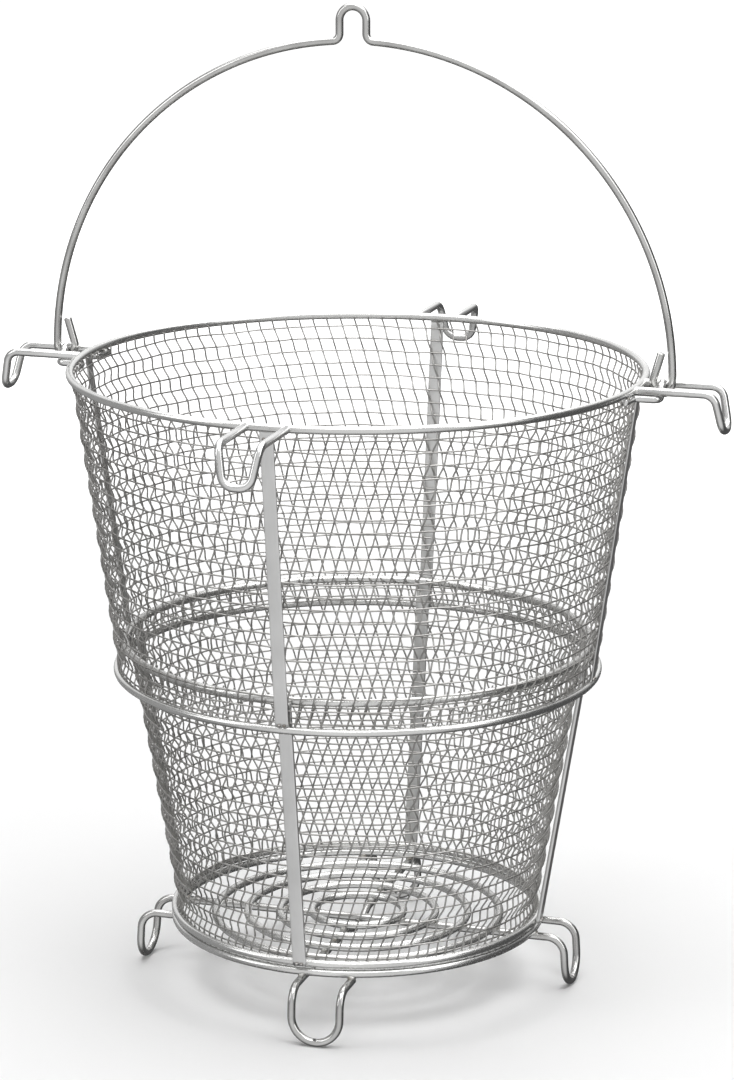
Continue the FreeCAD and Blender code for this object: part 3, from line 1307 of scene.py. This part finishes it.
@dataclass
class Welds:
    """Small resistance-weld beads where the wires meet.

    Attributes:
        radius: Radius of a bead.
        squash: A bead's height against its width.
        unevenness: How far a bead's skin strays.
        spot: Radius of the small beads in pairs at a strap's end.
        spot_half_gap: Half the gap between the two of a pair.
        spot_below_rim: From the rim's centre down to its pairs.
        spot_above_ring: From a lower ring's centre up to its pairs.
    """

    radius: float = 2.1 * MM
    squash: float = 0.8
    unevenness: float = 0.28 * MM
    spot: float = 1.0 * MM
    spot_half_gap: float = 1.3 * MM
    spot_below_rim: float = 3.9 * MM
    spot_above_ring: float = 1.2 * MM

    def tree(self) -> NodeTree:
        """Build the tree that sets a lumpy bead on each point."""
        tree = NodeTree("weld_beads")
        points = tree.size("Points", "NodeSocketObject")
        radius, squash, rough = (
            tree.size("Bead Radius"),
            tree.size("Squash"),
            tree.size("Unevenness"),
        )
        seed = tree.size("Seed", "NodeSocketInt")
        material = tree.size("Material", "NodeSocketMaterial")
        info = tree.node("GeometryNodeObjectInfo")
        tree.link(points, info.inputs["Object"])
        bead = tree.node("GeometryNodeMeshIcoSphere")
        bead.inputs["Subdivisions"].default_value = 3
        tree.link(radius, bead.inputs["Radius"])
        lump = tree.node("ShaderNodeTexNoise")
        lump.inputs["Scale"].default_value = 700.0
        lump.inputs["Detail"].default_value = 2.0
        centred = tree.sum("SUBTRACT", lump.outputs["Fac"], 0.5)
        push = tree.sum("MULTIPLY", centred, tree.sum("MULTIPLY", rough, 2.0))
        normal = tree.node("GeometryNodeInputNormal")
        scale = tree.node("ShaderNodeVectorMath", operation="SCALE")
        tree.link(normal.outputs["Normal"], scale.inputs[0])
        tree.link(push, scale.inputs["Scale"])
        shape = tree.node("GeometryNodeSetPosition")
        tree.link(bead.outputs["Mesh"], shape.inputs["Geometry"])
        tree.link(scale.outputs["Vector"], shape.inputs["Offset"])
        vary = tree.node("FunctionNodeRandomValue", data_type="FLOAT")
        low_scale, high_scale = [
            s for s in vary.inputs if s.name in ("Min", "Max") and s.type == "VALUE"
        ][:2]
        low_scale.default_value = 0.85
        high_scale.default_value = 1.15
        tree.link(seed, vary.inputs["Seed"])
        vary_out = next(s for s in vary.outputs if s.type == "VALUE")
        repeat = tree.node("GeometryNodeInstanceOnPoints")
        tree.link(info.outputs["Geometry"], repeat.inputs["Points"])
        tree.link(shape.outputs["Geometry"], repeat.inputs["Instance"])
        tall = tree.sum("MULTIPLY", vary_out, squash)
        tree.link(tree.vector(vary_out, vary_out, tall), repeat.inputs["Scale"])
        tree.finish(repeat.outputs["Instances"], material)
        return tree

    def upper_points(self) -> list[Vector]:
        """Return the joints of the upper stage."""
        rim, level, wire = centre_ring("rim_ring")
        hook_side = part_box("rim_hook_right")[1][1] - wire
        points = []
        for station in Station:
            turn = station.turn()
            for side in (-hook_side, hook_side):
                reach = math.sqrt((rim + wire) ** 2 - side ** 2)
                points.append(turn @ Vector((reach, side, level)))
        lug_low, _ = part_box("bail_lug_right")
        for station in (Station.RIGHT, Station.LEFT):
            turn = station.turn()
            for side in (-20.0 * MM, 20.0 * MM):
                reach = math.sqrt(rim ** 2 - side ** 2)
                points.append(turn @ Vector((reach, side, (level + lug_low[2]) / 2)))
        return points

    def lower_points(self) -> list[Vector]:
        """Return the joints of the lower stage."""
        ring, level, wire = centre_ring("base_ring_lower")
        points = []
        radii = [centre_ring(f"grate_ring_{number}")[0] for number in range(1, 5)]
        low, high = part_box("foot_bar_left_right")
        bar_level = high[2] - wire
        arm = high[1] - wire
        arm_reach = math.sqrt(ring ** 2 - arm ** 2)
        for station in Station:
            turn = station.turn()
            for radius in radii + [ring]:
                points.append(turn @ Vector((radius, 0.0, (bar_level + level) / 2)))
            points.append(turn @ Vector((arm_reach, arm, (bar_level + level) / 2)))
        return points

    def spot_points(self, node: bpy.types.Object, above: float, below: float) -> list[Vector]:
        """Return the pairs of small beads on a stage's four straps.

        Args:
            node: The stage's strap in the +X station.
            above: From the strap's bottom end up to its lower pair.
            below: From its top end down to its upper pair.

        Returns:
            The beads' places.
        """
        low, high, thickness = strap_line(node)
        along = (high - low).normalized()
        face = Vector((along.z, 0.0, -along.x)) * (thickness / 2)
        points = []
        for station in Station:
            for middle in (low + along * above, high - along * below):
                for side in (-self.spot_half_gap, self.spot_half_gap):
                    points.append(station.turn() @ (middle + face + Vector((0.0, side, 0.0))))
        return points

    def build(
        self, finish: bpy.types.Material, spot_tint_and_shade: bpy.types.Material, frame: dict
    ) -> None:
        """Make the beads of both stages.

        Args:
            finish: The welds' material.
            spot_tint_and_shade: The small beads' material: weld colour in its brownish patches,
                darkened overall by painted shade of the weld dimples.
            frame: The loaded frame.
        """
        tree = self.tree()
        upper_spots = self.spot_points(
            frame["nodes"]["upper_strap_right"], self.spot_above_ring, self.spot_below_rim
        )
        lower_spots = self.spot_points(
            frame["nodes"]["lower_strap_right"], self.spot_above_ring, self.spot_above_ring
        )
        for name, body, radius, points in (
            ("upper_stage_welds", Body.UPPER, self.radius, self.upper_points()),
            ("lower_stage_welds", Body.LOWER, self.radius, self.lower_points()),
            ("upper_strap_spots", Body.UPPER, self.spot, upper_spots),
            ("lower_strap_spots", Body.LOWER, self.spot, lower_spots),
        ):
            spots = bpy.data.meshes.new(name + "_spots")
            spots.from_pydata(points, [], [])
            holder = bpy.data.objects.new(name + "_spots", spots)
            bpy.context.scene.collection.objects.link(holder)
            values = {
                "Points": holder,
                "Bead Radius": radius,
                "Squash": self.squash,
                "Unevenness": self.unevenness * radius / self.radius,
                "Seed": 7,
                # The small beads take the darker material, which carries painted shade of the weld
                # dimples.
                "Material": spot_tint_and_shade if radius == self.spot else finish,
            }
            piece = tree.run(name, values)
            bpy.data.objects.remove(holder)
            adopt(piece, body)


# ---------------------------------------------------------------------------------------------
# Stage, light and camera


@dataclass(frozen=True)
class Lobe:
    """A soft patch of light in the surroundings.

    Attributes:
        facing: Direction of the patch's middle.
        near: Cosine of the angle at which it starts.
        full: Cosine of the angle at which it is brightest.
        tone: Its brightness.
    """

    facing: tuple[float, float, float]
    near: float
    full: float
    tone: float


@dataclass
class Studio:
    """A plain pale floor and backdrop under soft lights.

    Attributes:
        floor_half: Half the floor's width.
        floor_tone: The floor's colour.
        glow: Distances from the axis where the floor starts to glow and glows fully.
        dome: Radius of the backdrop.
        dim: Brightness of the surroundings between their patches of light.
        camera_place: The camera's place.
        camera_turn: The camera's rotation.
        lens: Focal length on a 24 mm tall frame.
        shift: Sideways shift of the frame.
    """

    floor_half: float = 15.0
    floor_tone: float = 0.90
    glow: tuple[float, float] = (0.5, 2.2)
    dome: float = 13.0
    dim: float = 0.10
    camera_place: tuple[float, float, float] = (0.5891, -1.9031, 0.7398)
    camera_turn: tuple[float, float, float] = (75.93, 0.0, 17.2)
    lens: float = 86.15
    shift: float = 0.0086
    lobes: tuple[Lobe, ...] = (
        Lobe((0.20, -0.93, -0.25), 0.22, 0.92, 0.76),
        Lobe((-0.95, 0.15, -0.18), 0.50, 0.95, 0.26),
        Lobe((-0.30, 0.85, 0.46), 0.70, 0.93, 0.80),
        Lobe((0.0, -0.12, 1.0), 0.35, 0.88, 0.50),
    )

    def paper(self) -> bpy.types.Material:
        """Make the floor's white paper, which glows far from the object."""
        material = bpy.data.materials.new("studio_paper")
        material.use_nodes = True
        nodes, links = material.node_tree.nodes, material.node_tree.links
        shader = nodes["Principled BSDF"]
        shader.inputs["Base Color"].default_value = (self.floor_tone,) * 3 + (1.0,)
        shader.inputs["Roughness"].default_value = 0.95
        shader.inputs["Specular IOR Level"].default_value = 0.0
        shader.inputs["Emission Color"].default_value = (1.0, 1.0, 1.0, 1.0)
        coordinates = nodes.new("ShaderNodeTexCoord")
        distance = nodes.new("ShaderNodeVectorMath")
        distance.operation = "LENGTH"
        glow = nodes.new("ShaderNodeMapRange")
        glow.interpolation_type = "SMOOTHSTEP"
        glow.inputs["From Min"].default_value = self.glow[0]
        glow.inputs["From Max"].default_value = self.glow[1]
        glow.inputs["To Max"].default_value = 1.0
        links.new(coordinates.outputs["Object"], distance.inputs[0])
        links.new(distance.outputs["Value"], glow.inputs["Value"])
        links.new(glow.outputs["Result"], shader.inputs["Emission Strength"])
        return material

    def floor(self) -> None:
        """Make the floor, which the metal doesn't mirror."""
        mesh = bmesh.new()
        bmesh.ops.create_grid(mesh, x_segments=8, y_segments=8, size=self.floor_half)
        data = bpy.data.meshes.new("studio_floor")
        mesh.to_mesh(data)
        mesh.free()
        data.materials.append(self.paper())
        floor = bpy.data.objects.new("studio_floor", data)
        bpy.context.scene.collection.objects.link(floor)
        floor.visible_glossy = False

    def backdrop(self) -> None:
        """Make the pale backdrop, which only the camera sees."""
        mesh = bmesh.new()
        bmesh.ops.create_uvsphere(mesh, u_segments=48, v_segments=24, radius=self.dome)
        data = bpy.data.meshes.new("studio_backdrop")
        mesh.to_mesh(data)
        mesh.free()
        material = bpy.data.materials.new("studio_backdrop_glow")
        material.use_nodes = True
        shader = material.node_tree.nodes["Principled BSDF"]
        shader.inputs["Base Color"].default_value = (0.0, 0.0, 0.0, 1.0)
        shader.inputs["Specular IOR Level"].default_value = 0.0
        shader.inputs["Emission Color"].default_value = (1.0, 1.0, 1.0, 1.0)
        shader.inputs["Emission Strength"].default_value = 1.0
        data.materials.append(material)
        backdrop = bpy.data.objects.new("studio_backdrop", data)
        bpy.context.scene.collection.objects.link(backdrop)
        backdrop.visible_diffuse = False
        backdrop.visible_glossy = False
        backdrop.visible_transmission = False
        backdrop.visible_shadow = False

    def light(
        self, name: str, place: Vector, aim: Vector, size: tuple[float, float], power: float
    ) -> None:
        """Add one soft box.

        Args:
            name: Name of the light.
            place: Where it hangs.
            aim: What it faces.
            size: Width and height.
            power: Its power.
        """
        data = bpy.data.lights.new(name, "AREA")
        data.shape = "RECTANGLE"
        data.size, data.size_y = size
        data.energy = power
        lamp = bpy.data.objects.new(name, data)
        lamp.location = place
        lamp.rotation_euler = (aim - place).to_track_quat("-Z", "Y").to_euler()
        bpy.context.scene.collection.objects.link(lamp)

    def lights(self) -> None:
        """Hang the soft boxes round the object."""
        aim = Vector((0.0, 0.0, 0.2))
        self.light("overhead_box", Vector((0.1, 0.1, 2.4)), aim, (3.4, 3.0), 92.0)
        self.light("left_box", Vector((-2.2, -1.6, 1.5)), aim, (1.1, 2.0), 16.0)
        self.light("right_box", Vector((2.3, -0.9, 1.4)), aim, (1.1, 2.0), 13.0)
        self.light("back_box", Vector((0.4, 2.6, 1.7)), aim, (3.6, 3.0), 7.0)

    def surroundings(self) -> None:
        """Make the world that only the metal mirrors: dim, with soft patches of light."""
        world = bpy.data.worlds.new("studio")
        bpy.context.scene.world = world
        world.use_nodes = True
        nodes, links = world.node_tree.nodes, world.node_tree.links
        coordinates = nodes.new("ShaderNodeTexCoord")
        total = None
        for lobe in self.lobes:
            facing = nodes.new("ShaderNodeVectorMath")
            facing.operation = "DOT_PRODUCT"
            facing.inputs[1].default_value = Vector(lobe.facing).normalized()
            links.new(coordinates.outputs["Generated"], facing.inputs[0])
            patch = nodes.new("ShaderNodeMapRange")
            patch.interpolation_type = "SMOOTHSTEP"
            patch.inputs["From Min"].default_value = lobe.near
            patch.inputs["From Max"].default_value = lobe.full
            patch.inputs["To Max"].default_value = lobe.tone
            links.new(facing.outputs["Value"], patch.inputs["Value"])
            brighter = nodes.new("ShaderNodeMath")
            brighter.inputs[1].default_value = self.dim
            links.new(patch.outputs["Result"], brighter.inputs[0])
            if total is not None:
                links.new(total, brighter.inputs[1])
            total = brighter.outputs["Value"]
        background = nodes["Background"]
        links.new(total, background.inputs["Color"])
        background.inputs["Strength"].default_value = 1.0
        world.cycles_visibility.diffuse = False

    def camera(self) -> None:
        """Set up the camera."""
        data = bpy.data.cameras.new("view")
        data.sensor_fit = "VERTICAL"
        data.sensor_height = 24.0
        data.lens = self.lens
        data.shift_x = self.shift
        data.clip_end = 60.0
        camera = bpy.data.objects.new("view", data)
        camera.location = self.camera_place
        camera.rotation_euler = [math.radians(angle) for angle in self.camera_turn]
        bpy.context.scene.collection.objects.link(camera)
        bpy.context.scene.camera = camera

    def build(self) -> None:
        """Set the stage."""
        self.floor()
        self.backdrop()
        self.lights()
        self.surroundings()
        self.camera()
        bpy.context.scene.view_settings.view_transform = "Standard"


# ---------------------------------------------------------------------------------------------
# The whole


def corners(box: tuple[Vector, Vector]) -> list[list[float]]:
    """Return a box's two corners as plain lists."""
    return [[float(value) for value in corner] for corner in box]


def main(frame: dict) -> None:
    """Args:
        frame: The loaded frame.
    """
    logging.basicConfig(level=logging.INFO, format="%(message)s")
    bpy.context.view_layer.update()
    Studio().build()
    ring_steel = RING_STEEL.build()
    drawn_wire = BRIGHT_WIRE.build()
    cloth_steel = CLOTH_STEEL.build()
    RoundRings().build(ring_steel)
    upper_wall().build(cloth_steel)
    lower_wall().build(cloth_steel)
    Straps().build(STRAP_STEEL.build(), frame)
    RimHooks().build(drawn_wire)
    BailLugs().build(drawn_wire)
    grey_wire = GREY_WIRE.build()
    FootBars().build(grey_wire)
    Bail().build(grey_wire)
    Welds().build(WELD_STEEL.build(), SPOT_TINT_AND_SHADE.build(), frame)


def upper_wall() -> WovenWall:
    """Describe the upper stage's wall."""
    return WovenWall(
        stem="upper_cloth",
        body=Body.UPPER,
        top_ring="rim_ring",
        bottom_ring="upper_stage_bottom_ring",
        hoops=23,
        uprights=120,
        first_hoop=3.7 * MM,
        last_hoop=5.9 * MM,
        inset=1.5 * MM,
        lean=math.radians(116.0),
    )


def lower_wall() -> WovenWall:
    """Describe the lower stage's wall."""
    return WovenWall(
        stem="lower_cloth",
        body=Body.LOWER,
        top_ring="lower_stage_top_ring",
        bottom_ring="base_ring_upper",
        hoops=23,
        uprights=114,
        first_hoop=2.6 * MM,
        last_hoop=4.1 * MM,
        inset=3.1 * MM,
        lean=math.radians(174.0),
        ends=(1.9 * MM, 1.9 * MM),
    )


if __name__ == "__main__":
    main(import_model())
